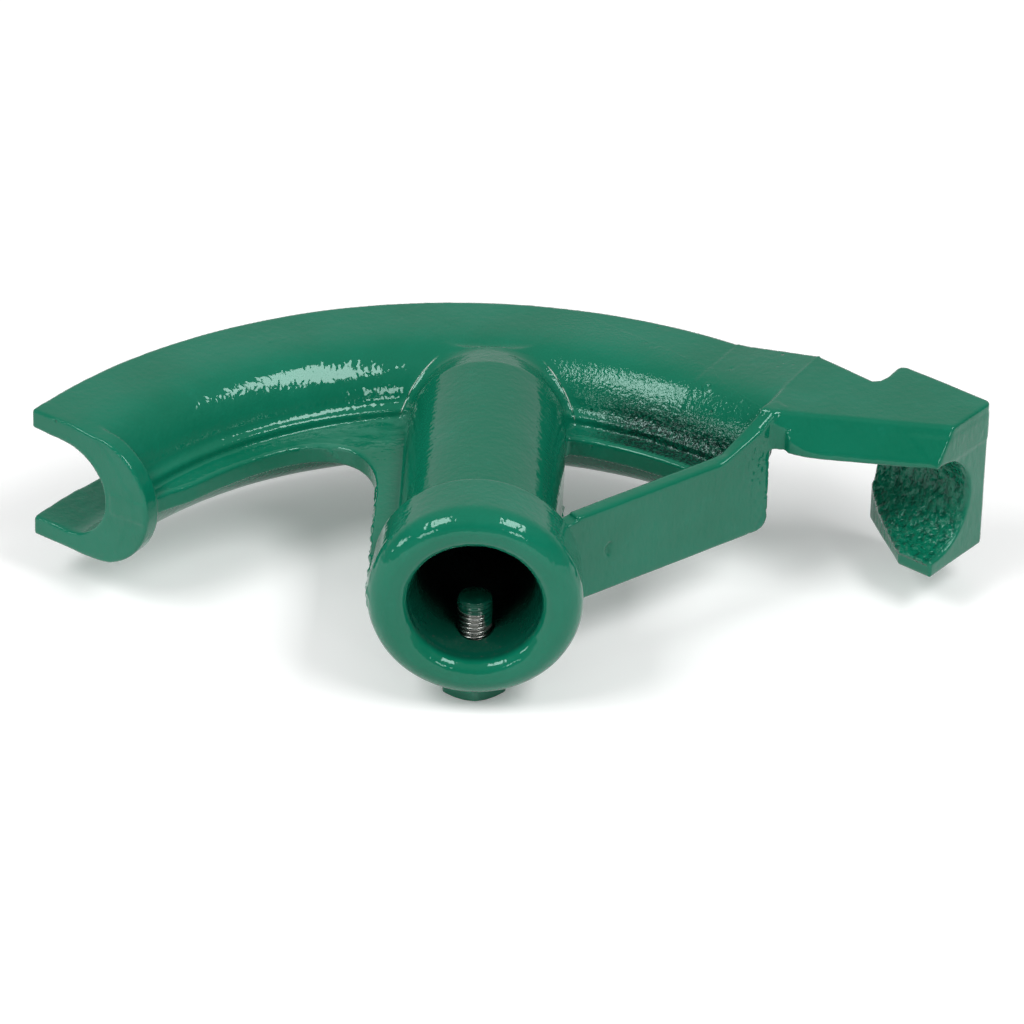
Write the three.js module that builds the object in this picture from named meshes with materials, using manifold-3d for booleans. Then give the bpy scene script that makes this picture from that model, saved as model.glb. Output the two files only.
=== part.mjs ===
// Head of a hand bender for thin-walled steel conduit, with the set screw that clamps its pipe handle.
// Millimetres, +Z up. The bend lies flat in the XY plane and the handle socket points along -Y.
import * as THREE from "three";
import { mergeVertices } from "three/addons/utils/BufferGeometryUtils.js";
import { ConvexGeometry } from "three/addons/geometries/ConvexGeometry.js";
import Module from "manifold-3d";

const wasm = await Module();
wasm.setup();

// Shoe: the channel that the conduit is bent in, turned about the bend centre at X 0, Y 0
const bendRadius = 114.3;
const grooveRadius = 12.1;
const shoeWall = 6.7;
const rimReach = 8.7;
const shoeHalfWidth = 17;
const ribDepth = 25.8;
const ribThickness = 4;
const flangeThickness = 4.5;
const flangeDepth = 24;
const flangeRound = 18.6;

// Angles in degrees, measured from +Y toward +X round the bend centre
const shoeStartAngle = -58.2;
const shoeEndAngle = 33.5;
const rampStartAngle = 29.4;
const pipeAngle = 36.7;

// Handle socket: a sleeve along Y with a thick ring at its mouth, rounded inside and out
const socketX = 1.2;
const mouthDepth = 102.7;
const ringRadius = 24.8;
const ringBackTaper = 0.8;
const ringLength = 18.6;
const ringCrestWidth = 1.4;
const ringRoundLength = 5.3;
const neckRadius = 18.9;
const neckEndDepth = 22.8;
const domeLength = 12;
const domeTopDrop = 1.9;
const boreRadius = 13.6;
const boreMouthRadius = 15.9;
const boreLeadLength = 12.4;
const mouthRoundWidth = 2.7;
const mouthRoundLength = 2.1;
const boreDepth = 68.4;
const boreConeLength = 5;

// Web between the socket and the shoe, in the mid plane
const webReach = 24.8;
const webFrontBack = 4.4;
const webBendBack = 46.4;
const webShoeDrop = 3;
const webShoeAngle = -25.4;
const webFarAngle = -36;

// Foot pedal plate: it stands on edge from the ring out to the neck of the hook
const pedalStartSide = 19.8;
const pedalStartBack = 20.1;
const pedalEndInset = 17.08;
const pedalEndAlong = 12.97;
const pedalHalfHeight = 11.5;
const pedalThickness = 4;
const pedalCornerRound = 3.5;
const pedalRiseLength = 15;

// Hook: a block past the end of the shoe, joined to it by a plate over the conduit.
// A reach is measured outward from the conduit's centre line, an inset inward, along from the bend centre.
const hookTop = 20;
const hookHeight = 38.8;
const hookEndAlong = 48.7;
const hookLength = 27.2;
const hookOuterReach = 21.2;
const hookLipInset = 0.6;
const cupRadius = 12.9;
const cupReach = 1.1;
const cupDrop = 1.8;
const lipCutLength = 9.3;
const lipCutBackReach = 12;
const plateThickness = 9.6;
const plateOuterReach = 11.7;
const plateStartAlong = 5;
const plateFrontStartInset = 15.68;
const plateFrontStartAlong = 12.67;
const plateFrontEndReach = 5.8;
const plateInnerInset = 17.47;
const plateInnerAlong = 9.27;
const bevelDrop = 8;
const bevelRun = 4.8;
const notchRound = 3;

// Set screw, M8 x 20, from below through the ring
const screwInset = 14;
const screwRadius = 4.1;
const screwLength = 20;
const screwTipChamfer = 0.8;
const screwHeadHeight = 4.3;
const screwHeadFlats = 14.6;
const screwHeadTurn = 5;
const headChamfer = 0.9;
const screwSeatGap = 0.3;
const screwClearance = 0.35;

// One overrun for every cut and for pieces that run into each other
const overrun = 3;

// Steps of the round stretches
const turnSteps = 150;
const roundSteps = 40;
const filletSteps = 6;

// Places that follow the bend
const rimRadius = bendRadius + rimReach;
const ribInnerRadius = bendRadius - ribDepth;
const flangeFloorRadius = bendRadius - flangeDepth;
const mouthY = bendRadius - mouthDepth;
const crestRadius = boreMouthRadius + mouthRoundWidth;
const neckEndY = bendRadius - neckEndDepth;
const hookOuterDistance = bendRadius + hookOuterReach;
const plateOuterDistance = bendRadius + plateOuterReach;
const cupDistance = bendRadius + cupReach;

const degrees = Math.PI / 180;
const up = new THREE.Vector3(0, 0, 1);
const pipeTurn = pipeAngle * degrees;
const outward = new THREE.Vector3(Math.sin(pipeTurn), Math.cos(pipeTurn), 0);
const along = new THREE.Vector3(Math.cos(pipeTurn), -Math.sin(pipeTurn), 0);

// A closed geometry as a solid, with its faces turned out
function solid(geometry) {
  const bare = geometry.index ? geometry.toNonIndexed() : geometry.clone();
  bare.deleteAttribute("normal");
  bare.deleteAttribute("uv");
  const merged = mergeVertices(bare);
  const vertices = new Float32Array(merged.attributes.position.array);
  const corners = Array.from(merged.index.array);
  const triangles = [];
  for (let k = 0; k < corners.length; k += 3) {
    const [a, b, c] = corners.slice(k, k + 3);
    if (a !== b && b !== c && c !== a) triangles.push([a, b, c]);
  }
  const point = (k) => new THREE.Vector3().fromArray(vertices, k * 3);
  const volume = triangles.reduce((sum, [a, b, c]) => sum + point(a).dot(point(b).cross(point(c))), 0);
  const turned = triangles.map(([a, b, c]) => (volume < 0 ? [a, c, b] : [a, b, c]));
  return new wasm.Manifold(new wasm.Mesh({
    numProp: 3,
    vertProperties: vertices,
    triVerts: new Uint32Array(turned.flat()),
  }));
}

function geometryOf(manifold) {
  const mesh = manifold.getMesh();
  const geometry = new THREE.BufferGeometry();
  geometry.setAttribute("position", new THREE.BufferAttribute(new Float32Array(mesh.vertProperties), 3));
  geometry.setIndex(Array.from(mesh.triVerts));
  geometry.computeVertexNormals();
  return geometry;
}

// A plan outline raised from one height to another
function raised(shape, bottom, top, curveSegments = filletSteps) {
  const geometry = new THREE.ExtrudeGeometry(shape, { depth: top - bottom, bevelEnabled: false, curveSegments });
  return geometry.translate(0, 0, bottom);
}

// An outline in a sideways direction and Z, drawn out along their cross product from start by length
function drawn(shape, sideways, start, length, curveSegments = filletSteps) {
  const way = new THREE.Vector3().crossVectors(sideways, up);
  const geometry = new THREE.ExtrudeGeometry(shape, { depth: length, bevelEnabled: false, curveSegments });
  geometry.translate(0, 0, start);
  return geometry.applyMatrix4(new THREE.Matrix4().makeBasis(sideways, up, way));
}

// A profile of radius and height turned about the vertical axis through the bend centre
function turnedAboutBend(profile) {
  return new THREE.LatheGeometry(profile, turnSteps).rotateX(Math.PI / 2);
}

// The part of the plan between two bend angles, as a tall wedge
function wedge(startAngle, endAngle) {
  const reach = hookOuterDistance;
  const height = hookTop + overrun;
  const shape = new THREE.Shape();
  shape.moveTo(0, 0);
  shape.absarc(0, 0, reach, (90 - startAngle) * degrees, (90 - endAngle) * degrees, true);
  shape.lineTo(0, 0);
  return solid(raised(shape, -height, height, filletSteps * filletSteps));
}

const planPoint = (distance, alongPipe) =>
  outward.clone().multiplyScalar(distance).addScaledVector(along, alongPipe);

const pedalEnd = () => planPoint(bendRadius - pedalEndInset, pedalEndAlong);
const plateInner = () => planPoint(bendRadius - plateInnerInset, plateInnerAlong);
const pedalStart = () => new THREE.Vector3(socketX + pedalStartSide, mouthY + pedalStartBack, 0);
const pedalRun = () => pedalEnd().sub(pedalStart()).normalize();

function outline(points) {
  return new THREE.Shape(points.map((p) => new THREE.Vector2(p.x, p.y)));
}

// Points of an arc in a profile, from one angle to another
function arcPoints(x, y, radius, from, to, steps) {
  const points = [];
  for (let k = 0; k <= steps; k += 1) {
    const angle = from + ((to - from) * k) / steps;
    points.push(new THREE.Vector2(x + radius * Math.cos(angle), y + radius * Math.sin(angle)));
  }
  return points;
}

function closed(points) {
  return [...points, points[0].clone()];
}

// The channel's section, solid: flat flanks at the rim, round behind the groove
function shoeSection() {
  const round = grooveRadius + shoeWall;
  const shoulder = Math.asin(shoeHalfWidth / round);
  return [
    new THREE.Vector2(rimRadius, -shoeHalfWidth),
    new THREE.Vector2(rimRadius, shoeHalfWidth),
    ...arcPoints(bendRadius, 0, round, Math.PI - shoulder, Math.PI + shoulder, roundSteps / 2),
  ];
}

// The groove's section, open past the rim
function grooveSection() {
  const reach = hookOuterDistance + overrun;
  return [
    new THREE.Vector2(reach, -grooveRadius),
    new THREE.Vector2(reach, grooveRadius),
    ...arcPoints(bendRadius, 0, grooveRadius, Math.PI / 2, (3 * Math.PI) / 2, roundSteps / 2),
  ];
}

function shoeBody() {
  const channel = solid(turnedAboutBend(closed(shoeSection())));
  return channel.intersect(wedge(shoeStartAngle, shoeEndAngle));
}

// The flange at the free end stands proud of the channel's round side
function endFlange() {
  const centre = flangeFloorRadius + flangeRound;
  const profile = [
    new THREE.Vector2(rimRadius, -shoeHalfWidth),
    new THREE.Vector2(rimRadius, shoeHalfWidth),
    ...arcPoints(centre, 0, flangeRound, Math.PI / 2, (3 * Math.PI) / 2, roundSteps / 2),
  ];
  const sweep = flangeThickness / bendRadius / degrees;
  return solid(turnedAboutBend(closed(profile))).intersect(wedge(shoeStartAngle, shoeStartAngle + sweep));
}

// The low rib along the middle of the channel's round side
function midRib() {
  const half = ribThickness / 2;
  const outer = bendRadius - grooveRadius - overrun;
  const profile = [
    new THREE.Vector2(outer, -half),
    new THREE.Vector2(outer, half),
    new THREE.Vector2(ribInnerRadius, half),
    new THREE.Vector2(ribInnerRadius, -half),
  ];
  return solid(turnedAboutBend(closed(profile))).intersect(wedge(shoeStartAngle, shoeEndAngle));
}

// The web runs from the ring up beside the socket and sweeps out into the rib
function midWeb() {
  const shape = new THREE.Shape();
  const edgeX = socketX - webReach;
  const shoeX = (ribInnerRadius - webShoeDrop) * Math.sin(webShoeAngle * degrees);
  const shoeY = (ribInnerRadius - webShoeDrop) * Math.cos(webShoeAngle * degrees);
  shape.moveTo(socketX, mouthY + webFrontBack);
  shape.lineTo(edgeX, mouthY + webFrontBack);
  shape.lineTo(edgeX, mouthY + webBendBack);
  shape.quadraticCurveTo(edgeX, shoeY, shoeX, shoeY);
  const floorRadius = bendRadius - grooveRadius - shoeWall / 2;
  const far = (90 - webFarAngle) * degrees;
  shape.lineTo(ribInnerRadius * Math.cos(far), ribInnerRadius * Math.sin(far));
  shape.lineTo(floorRadius * Math.cos(far), floorRadius * Math.sin(far));
  shape.absarc(0, 0, floorRadius, far, Math.PI / 2, true);
  return solid(raised(shape, -ribThickness / 2, ribThickness / 2, 2 * filletSteps));
}

// Sleeve and ring in one turning about the socket's axis
function socketBody() {
  const backY = mouthY + ringLength;
  const endY = neckEndY + domeLength;
  const roundWidth = ringRadius - crestRadius - ringCrestWidth;
  const front = [];
  for (let k = 0; k <= filletSteps; k += 1) {
    const angle = (Math.PI / 2) * (k / filletSteps);
    const radius = ringRadius - roundWidth * (1 - Math.sin(angle));
    front.push(new THREE.Vector2(radius, mouthY + ringRoundLength * (1 - Math.cos(angle))));
  }
  const profile = [
    new THREE.Vector2(0, mouthY),
    ...front,
    new THREE.Vector2(ringRadius - ringBackTaper, backY),
    new THREE.Vector2(neckRadius, backY),
    new THREE.Vector2(neckRadius, neckEndY),
    new THREE.Vector2(neckRadius - domeTopDrop, endY - domeTopDrop),
    new THREE.Vector2(0, endY),
  ];
  return solid(new THREE.LatheGeometry(profile, roundSteps).translate(socketX, 0, 0));
}

// The bore, with the ring's inner rounding at its mouth
function socketBore() {
  const endY = mouthY + boreDepth;
  const mouth = [];
  for (let k = 0; k <= filletSteps; k += 1) {
    const share = k / filletSteps;
    mouth.push(new THREE.Vector2(crestRadius - mouthRoundWidth * share, mouthY + mouthRoundLength * share ** 2));
  }
  const profile = [
    new THREE.Vector2(0, mouthY - overrun),
    new THREE.Vector2(crestRadius, mouthY - overrun),
    ...mouth,
    new THREE.Vector2(boreRadius, mouthY + boreLeadLength),
    new THREE.Vector2(boreRadius, endY),
    new THREE.Vector2(0, endY + boreConeLength),
  ];
  return solid(new THREE.LatheGeometry(profile, roundSteps).translate(socketX, 0, 0));
}

// The pedal plate's outline runs along the plate and up; its top slopes up to the neck plate
function pedalPlate() {
  const run = pedalRun();
  const face = new THREE.Vector3().crossVectors(run, up);
  const start = pedalStart().dot(run);
  const far = pedalEnd().dot(run);
  const rise = far - pedalRiseLength;
  const shape = new THREE.Shape();
  shape.moveTo(start, -pedalHalfHeight);
  shape.lineTo(far - pedalCornerRound, -pedalHalfHeight);
  shape.absarc(far - pedalCornerRound, pedalCornerRound - pedalHalfHeight, pedalCornerRound, -Math.PI / 2, 0);
  shape.lineTo(far, hookTop);
  shape.lineTo(rise, pedalHalfHeight);
  shape.lineTo(start, pedalHalfHeight);
  return solid(drawn(shape, run, pedalEnd().dot(face) - pedalThickness, pedalThickness));
}

// The channel's upper half carries straight on past the shoe's end, under the ramp, to the pedal plate
function neckBody() {
  const round = grooveRadius + shoeWall;
  const shoulder = Math.asin(shoeHalfWidth / round);
  const flank = Math.asin(ribThickness / round);
  const points = [
    new THREE.Vector2(rimRadius, grooveRadius / 2),
    new THREE.Vector2(rimRadius, shoeHalfWidth),
    ...arcPoints(bendRadius, 0, round, Math.PI - shoulder, Math.PI - flank, roundSteps / 2),
  ];
  const start = -bendRadius * Math.sin((pipeAngle - shoeEndAngle) * degrees) - overrun;
  const length = pedalEndAlong - pedalThickness - start;
  return solid(drawn(outline(points), outward, start, length)).intersect(behindPedal());
}

// Everything on the shoe's side of the pedal plate's front face and short of its far end
function behindPedal() {
  const run = pedalRun();
  const back = new THREE.Vector3().crossVectors(up, run);
  const end = pedalEnd();
  const corners = [
    end,
    end.clone().addScaledVector(run, -rimRadius),
    end.clone().addScaledVector(run, -rimRadius).addScaledVector(back, rimRadius),
    end.clone().addScaledVector(outward, rimRadius),
  ];
  const height = hookTop + overrun;
  return solid(raised(outline(corners), -height, height));
}

// The ramp lifts the shoe's top flank to the height of the neck plate
function topRamp() {
  const bottom = hookTop - plateThickness;
  const turn = rampStartAngle * degrees;
  const rim = new THREE.Vector3(Math.sin(turn), Math.cos(turn), 0);
  const shoulderRadius = bendRadius - Math.sqrt((grooveRadius + shoeWall) ** 2 - shoeHalfWidth ** 2);
  const inner = plateInner();
  const plan = [
    [rim.clone().multiplyScalar(rimRadius), shoeHalfWidth],
    [rim.clone().multiplyScalar(shoulderRadius), shoeHalfWidth],
    [planPoint(plateOuterDistance, plateStartAlong), hookTop],
    [inner, hookTop],
    [planPoint(plateOuterDistance - overrun, plateStartAlong + overrun), hookTop],
    [inner.clone().addScaledVector(along, overrun), hookTop],
  ];
  const points = [];
  for (const [spot, top] of plan) {
    points.push(spot.clone().setZ(bottom), spot.clone().setZ(top));
  }
  return solid(new ConvexGeometry(points));
}

// The plate over the conduit, with the hook's top in the same outline
function neckPlate() {
  const backAlong = hookEndAlong - hookLength;
  const frontStart = planPoint(bendRadius - plateFrontStartInset, plateFrontStartAlong);
  const frontEnd = planPoint(bendRadius + plateFrontEndReach, hookEndAlong);
  const front = frontEnd.clone().sub(frontStart).normalize();
  const forward = new THREE.Vector3(front.y, -front.x, 0);
  const slide = bevelRun / forward.dot(outward.clone().negate());
  const corners = [
    planPoint(plateOuterDistance, plateStartAlong),
    planPoint(plateOuterDistance, backAlong - notchRound),
    planPoint(plateOuterDistance + notchRound / 2, backAlong),
    planPoint(hookOuterDistance - notchRound / 2, backAlong),
    planPoint(hookOuterDistance, backAlong + notchRound / 2),
    planPoint(hookOuterDistance, hookEndAlong),
    planPoint(bendRadius + plateFrontEndReach - slide, hookEndAlong),
    frontStart.clone().addScaledVector(forward, bevelRun),
    frontStart,
    plateInner(),
  ];
  const plate = solid(raised(outline(corners), hookTop - plateThickness, hookTop));
  const shape = new THREE.Shape();
  shape.moveTo(0, hookTop);
  shape.lineTo(bevelRun, hookTop - bevelDrop);
  shape.lineTo(bevelRun + overrun, hookTop - bevelDrop);
  shape.lineTo(bevelRun + overrun, hookTop + overrun);
  shape.lineTo(0, hookTop + overrun);
  const length = frontEnd.distanceTo(frontStart) + 2 * overrun;
  const bevel = drawn(shape, forward, -length + overrun, length);
  return plate.subtract(solid(bevel.translate(frontStart.x, frontStart.y, 0)));
}

// The hook's wall and lower lip, before the cup is cut
function hookBlock() {
  const backAlong = hookEndAlong - hookLength;
  const corners = [
    planPoint(bendRadius - hookLipInset, hookEndAlong),
    planPoint(bendRadius - hookLipInset, hookEndAlong - lipCutLength),
    planPoint(bendRadius + lipCutBackReach, backAlong),
    planPoint(hookOuterDistance - notchRound / 2, backAlong),
    planPoint(hookOuterDistance, backAlong + notchRound / 2),
    planPoint(hookOuterDistance, hookEndAlong),
  ];
  return solid(raised(outline(corners), hookTop - hookHeight, hookTop - bevelDrop));
}

// The conduit's way through the hook, level with the neck plate's underside on the inner side
function cupCut() {
  const centre = -cupDrop;
  const inner = cupDistance - hookOuterDistance / 2;
  const roof = hookTop - plateThickness;
  const roofAngle = Math.PI - Math.asin((roof - centre) / cupRadius);
  const shape = new THREE.Shape();
  shape.moveTo(inner, centre - cupRadius);
  shape.lineTo(cupDistance, centre - cupRadius);
  shape.absarc(cupDistance, centre, cupRadius, -Math.PI / 2, roofAngle);
  shape.lineTo(inner, roof);
  const start = hookEndAlong - hookLength - overrun;
  return solid(drawn(shape, outward, start, hookLength + 2 * overrun, roundSteps / 2));
}

// The conduit's way straight on from the shoe, lower by the drop
function conduitCut(drop) {
  const shape = new THREE.Shape();
  shape.absarc(bendRadius, -drop, grooveRadius, 0, 2 * Math.PI);
  const start = -bendRadius * Math.sin((pipeAngle - shoeEndAngle) * degrees);
  return solid(drawn(shape, outward, start, hookEndAlong - start + overrun, roundSteps / 2));
}

function screwHole() {
  const height = ringRadius + overrun;
  const geometry = new THREE.CylinderGeometry(
    screwRadius + screwClearance,
    screwRadius + screwClearance,
    height,
    roundSteps / 2,
  );
  geometry.rotateX(Math.PI / 2);
  return solid(geometry.translate(socketX, mouthY + screwInset, -height / 2));
}

function benderHead() {
  const groove = solid(turnedAboutBend(closed(grooveSection())));
  const shoe = [endFlange(), midRib(), midWeb(), socketBody()]
    .reduce((sum, piece) => sum.add(piece), shoeBody())
    .subtract(groove);
  const neck = neckBody().add(topRamp()).subtract(conduitCut(0));
  const hook = neckPlate().add(hookBlock()).subtract(conduitCut(cupDrop)).subtract(cupCut());
  return shoe.add(neck).add(hook).add(pedalPlate()).subtract(socketBore()).subtract(screwHole());
}

// Hexagon head below the ring, plain shank up into the bore
function setScrew() {
  const seat = -ringRadius - screwSeatGap;
  const tip = seat + screwLength;
  const shank = new THREE.LatheGeometry([
    new THREE.Vector2(0, seat - overrun),
    new THREE.Vector2(screwRadius, seat - overrun),
    new THREE.Vector2(screwRadius, tip - screwTipChamfer),
    new THREE.Vector2(screwRadius - screwTipChamfer, tip),
    new THREE.Vector2(0, tip),
  ], roundSteps / 2);
  const cornerRadius = screwHeadFlats / 2 / Math.cos(Math.PI / 6);
  const hexagon = new THREE.CylinderGeometry(cornerRadius, cornerRadius, screwHeadHeight, 6);
  hexagon.rotateY(screwHeadTurn * degrees);
  hexagon.translate(0, seat - screwHeadHeight / 2, 0);
  const dressing = new THREE.LatheGeometry([
    new THREE.Vector2(0, seat - screwHeadHeight),
    new THREE.Vector2(cornerRadius - 2 * headChamfer, seat - screwHeadHeight),
    new THREE.Vector2(cornerRadius, seat - screwHeadHeight + headChamfer),
    new THREE.Vector2(cornerRadius, seat),
    new THREE.Vector2(0, seat),
  ], roundSteps);
  const head = solid(hexagon).intersect(solid(dressing));
  return geometryOf(head.add(solid(shank))).rotateX(Math.PI / 2);
}

const enamel = new THREE.MeshStandardMaterial({ color: 0x0b6b4b, roughness: 0.28, metalness: 0 });
const paintedSteel = new THREE.MeshStandardMaterial({ color: 0x2f6b56, roughness: 0.35, metalness: 0.5 });

const headMesh = new THREE.Mesh(geometryOf(benderHead()), enamel);
headMesh.name = "bender_head";

const screwMesh = new THREE.Mesh(setScrew(), paintedSteel);
screwMesh.name = "handle_set_screw";
screwMesh.position.set(socketX, mouthY + screwInset, 0);

// The bend centre is moved so that the whole part stands centred over the origin, lowest point at Z 0
const bender = new THREE.Group();
bender.add(headMesh, screwMesh);
const bounds = new THREE.Box3().setFromObject(bender);
const middle = bounds.getCenter(new THREE.Vector3());
bender.position.set(-middle.x, -middle.y, -bounds.min.z);

export default bender;
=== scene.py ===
import math

import bpy
import numpy as np
from mathutils import Matrix, Vector


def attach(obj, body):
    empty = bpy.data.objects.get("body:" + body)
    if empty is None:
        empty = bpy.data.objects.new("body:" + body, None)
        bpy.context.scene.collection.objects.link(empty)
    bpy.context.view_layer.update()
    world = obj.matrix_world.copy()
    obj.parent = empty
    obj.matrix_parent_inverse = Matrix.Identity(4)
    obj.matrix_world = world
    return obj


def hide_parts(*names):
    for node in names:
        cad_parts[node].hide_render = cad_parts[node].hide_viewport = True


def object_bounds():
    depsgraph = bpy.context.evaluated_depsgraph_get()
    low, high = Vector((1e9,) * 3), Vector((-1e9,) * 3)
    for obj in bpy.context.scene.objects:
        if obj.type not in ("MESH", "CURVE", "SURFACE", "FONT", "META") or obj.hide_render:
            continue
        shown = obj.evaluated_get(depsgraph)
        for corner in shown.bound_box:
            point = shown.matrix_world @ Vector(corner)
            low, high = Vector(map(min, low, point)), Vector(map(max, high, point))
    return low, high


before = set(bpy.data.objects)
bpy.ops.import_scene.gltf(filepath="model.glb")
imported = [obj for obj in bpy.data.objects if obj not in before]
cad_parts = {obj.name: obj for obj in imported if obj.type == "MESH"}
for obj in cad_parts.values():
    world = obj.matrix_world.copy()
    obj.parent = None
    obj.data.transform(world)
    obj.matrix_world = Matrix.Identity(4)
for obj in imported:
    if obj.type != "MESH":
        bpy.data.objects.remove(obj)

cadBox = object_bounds()
print("frame loaded", sorted(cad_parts))

# All shapes are drawn in mm about the bend centre, in the casting's mid plane; toScene moves them to
# the frame
mm = 0.001
bendCentre = np.array([-0.0077525, -0.0673, 0.0294])


def toScene(points):
    return np.asarray(points, float) * mm + bendCentre


# The camera, as the photograph was taken
shot = {
    "place": (36.192, -1256.356, 808.040),
    "pitch": 31.642, "yaw": -1.217, "roll": 1.475,
    "lens": 232.03, "sensor": 36.0, "sees": 20,
}


def makeCamera(s):
    pitch, yaw, roll = (math.radians(s[k]) for k in ("pitch", "yaw", "roll"))
    ahead = Vector((math.sin(yaw) * math.cos(pitch), math.cos(yaw) * math.cos(pitch), -math.sin(pitch)))
    level = Vector((math.cos(yaw), -math.sin(yaw), 0))
    upright = level.cross(ahead)
    right = level * math.cos(roll) + upright * math.sin(roll)
    above = upright * math.cos(roll) - level * math.sin(roll)
    data = bpy.data.cameras.new("photo_camera")
    data.lens = s["lens"]
    data.sensor_width = s["sensor"]
    data.clip_end = s["sees"]
    camera = bpy.data.objects.new("photo_camera", data)
    bpy.context.scene.collection.objects.link(camera)
    turned = Matrix((right, above, -ahead)).transposed().to_4x4()
    camera.matrix_world = Matrix.Translation(Vector(toScene(s["place"]))) @ turned
    bpy.context.scene.camera = camera


makeCamera(shot)
print("camera set")

# Distances to the casting's shapes, negative inside, for arrays of any shape
farAway = 1e9


def softMin(a, b, k):
    # k is how wide the blend between the two shapes is
    h = np.maximum(k - np.abs(a - b), 0) / k
    return np.minimum(a, b) - h * h * (k / 4)


def softMax(a, b, k):
    return -softMin(-a, -b, k)


def ramp(v, low, high):
    t = np.clip((v - low) / (high - low), 0, 1)
    return t * t * (3 - 2 * t)


def fall(v, low, high):
    return ramp(-v, -high, -low)


def bowl(d, centre, z):
    # distance from the axis of a round trough that runs on straight beyond its centre
    return np.where(d > centre, np.abs(z), np.hypot(d - centre, z))


def lineSide(x, y, start, end):
    ex, ey = end[0] - start[0], end[1] - start[1]
    return ((y - start[1]) * ex - (x - start[0]) * ey) / math.hypot(ex, ey)


def polygonDistance(px, py, corners):
    dist = np.full(np.broadcast(px, py).shape, farAway)
    inside = np.zeros(dist.shape, bool)
    for (ax, ay), (bx, by) in zip(corners, corners[1:] + corners[:1]):
        ex, ey = bx - ax, by - ay
        wx, wy = px - ax, py - ay
        t = np.clip((wx * ex + wy * ey) / (ex * ex + ey * ey), 0, 1)
        dist = np.minimum(dist, np.hypot(wx - ex * t, wy - ey * t))
        if ey:
            inside ^= ((ay > py) != (by > py)) & (px < ex * (py - ay) / ey + ax)
    return np.where(inside, -dist, dist)


shoe = {
    "bend": 114.3, "groove": 12.1, "wall": 6.7, "rim": 123.0, "half": 17.0, "start": -58.2, "end": 33.5,
    "sag": 1.05, "sagFrom": -30.0, "sagAcross": 14, "shoulder": 2.6, "edge": 0.5, "lip": 0.7,
    "stepInner": 94.4, "stepHalf": 4.2, "stepEdge": 1.0, "stepBlend": 2.6,
    "flange": 4.5, "flangeCentre": 107.4, "flangeRound": 17.5, "flangeInset": 0.05,
    "flangeShoulder": 1.1, "flangeEdge": 0.5, "flangeCorner": 0.6, "flangeBlend": 0.5,
    # the inner wall runs on to the pedal, past the place where the groove stops
    "runOn": 14.0, "runOnAcross": (101, 108), "offPedal": 1.5,
}
socket = {
    "x": 1.2, "mouth": 11.6, "ring": 24.8, "taper": 0.8, "back": 30.2, "outerRound": 5.3, "ringEdge": 1.0,
    "ringBlend": 0.9, "neck": 18.9, "neckEnd": 91.5, "sleeveFrom": 4, "sleeveEdge": 1,
    "domeEnd": 101.9, "domeDrop": 1.9, "domeOver": 1.2,
    "bore": 13.6, "boreMouth": 15.9, "boreEnd": 80.0, "lead": 12.4, "leadOver": 1.6, "drillSlope": 0.35,
    "innerRound": 4.4, "innerCentre": 19.5, "mouthSlope": 0.6, "mouthBlend": 0.7,
    "screwY": 25.6, "screwHole": 4.35,
    "flareFrom": 83.0, "flareTo": 93.0, "flare": 3.8, "flareLeast": 0.7,
}
web = {
    "edge": -23.6, "front": 16.0, "half": 2.0, "drop": 0.5, "sweep": 26.0, "round": 0.7,
    "inner": 88.5, "outer": 100, "fade": 2.4, "fadeTurn": (47, 56),
}
pedal = {
    "start": (21.0, 31.7), "end": (68.5, 70.2), "half": 11.5, "thick": 4.0, "corner": 3.5, "edge": 1.2,
    # the rise to the plate: place along the pedal from its end, and height, for its front and back edge
    "riseFront": ((-15.1, -3.4, 0.4), (11.5, 16.5, 20.0)), "riseBack": ((-12.2, 0.4), (11.5, 20.0)),
    "reachOn": 4, "reachHeight": (10.2, 10.8),
}
neck = {
    "turn": 36.7, "rampTurn": 29.4, "bodyEnd": 8.97, "bodyStart": -9.4, "under": 4, "leastSpan": 0.1,
    "wedgeEdge": 0.5, "conduitBack": 6.4,
}
plate = {
    "top": 20.0, "under": 10.4, "outer": 126.0, "start": 5.0, "inner": (96.83, 9.27),
    "frontStart": (98.62, 12.67), "frontEnd": (120.1, 48.7), "frontShift": 0.8,
    "bevelDrop": 8.0, "bevelRun": 4.8, "edge": 0.5, "corner": 0.7,
    # beside the pedal the plate's front falls straight down in a hollow
    "hollowAlong": (-0.8, 2.7, 3.6, 5.1, 8.0, 13.5), "hollowDepth": (1.45, 2.05, 3.4, 3.9, 4.6, 5.3),
    # outward from the plate's outer edge, and along from the hook's back
    "notch": ((-1.0, -0.1), (0.2, 1.1), (2.9, 1.5)),
}
hook = {
    "bottom": -18.8, "roof": 17.5, "outer": 135.5, "end": 48.7, "length": 27.2, "lip": 113.7,
    "cut": 9.3, "cutBack": 126.3, "cutStart": 0.4, "edge": 1.1, "bevelEdge": 0.6, "blend": 0.6,
    # outward from the outer side, and along from the back or the end
    "backCorner": ((-1.9, 0.9), (-0.8, 1.2), (0, 2.4)), "wallCorner": ((-1.9, 1.0), (-0.8, 1.3), (0, 2.4)),
    "frontCorner": ((0, -1.6), (-0.5, -0.5), (-1.6, 0)),
    "cup": 12.9, "cupCentre": 115.4, "cupDrop": 1.8, "cupEdge": 0.7, "cupPast": 6,
    "cupRise": 0.17, "cupRiseFrom": 111.2, "cupRiseRun": 8,
}
# how wide the blends are where the casting's parts meet, and where they widen
joins = {
    "web": 0.9, "neckGroove": 0.8, "neck": 0.6, "neckWider": (104, 110), "pedalToHook": 0.8,
    "far": 0.7, "foot": 1.6, "footAcross": (50, 70),
    "sweep": 1.2, "sweepIn": (82, 92), "sweepOut": (100, 108), "sweepUp": (-4, 6),
    "bore": 0.6, "screwHole": 0.5,
}

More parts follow.
